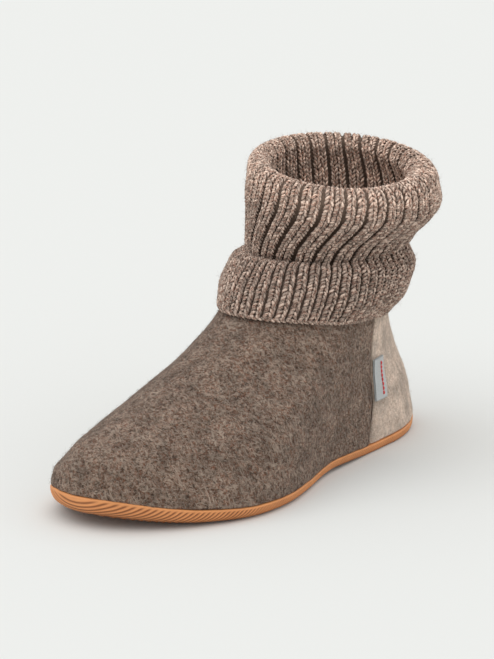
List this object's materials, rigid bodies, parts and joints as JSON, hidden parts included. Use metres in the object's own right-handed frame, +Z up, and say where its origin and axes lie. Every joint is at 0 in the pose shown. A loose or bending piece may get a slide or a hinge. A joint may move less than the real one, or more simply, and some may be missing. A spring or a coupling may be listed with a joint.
{
  "type": "felt ankle slipper",
  "caption": "Felt ankle slipper with a turned-down rib-knit cuff, a pale heel counter and a thin rubber sole with a ribbed side, standing empty.",
  "frame": {"origin": "on the floor, in the middle of the slipper's length and width", "axes": "+X to the toe, +Y to the outer side of the left foot, +Z up"},
  "size_m": [0.2526, 0.1044, 0.1542],
  "materials": {
    "rubber": "satin natural rubber, moulded ribs on the side",
    "dark_felt": "boiled wool felt, taupe-brown with light and reddish fibres, fuzzy",
    "pale_felt": "boiled wool felt, light beige, fuzzy",
    "marled_knit": "rib knitting in a marled beige and brown wool yarn",
    "woven_tape": "plain grey woven tape"
  },
  "bodies": {
    "root": {"outsole": "rubber", "insole": "pale_felt", "felt_upper": "dark_felt", "heel_counter": "pale_felt", "knit_cuff": "marled_knit", "side_tab": "woven_tape"}
  },
  "joints": []
}
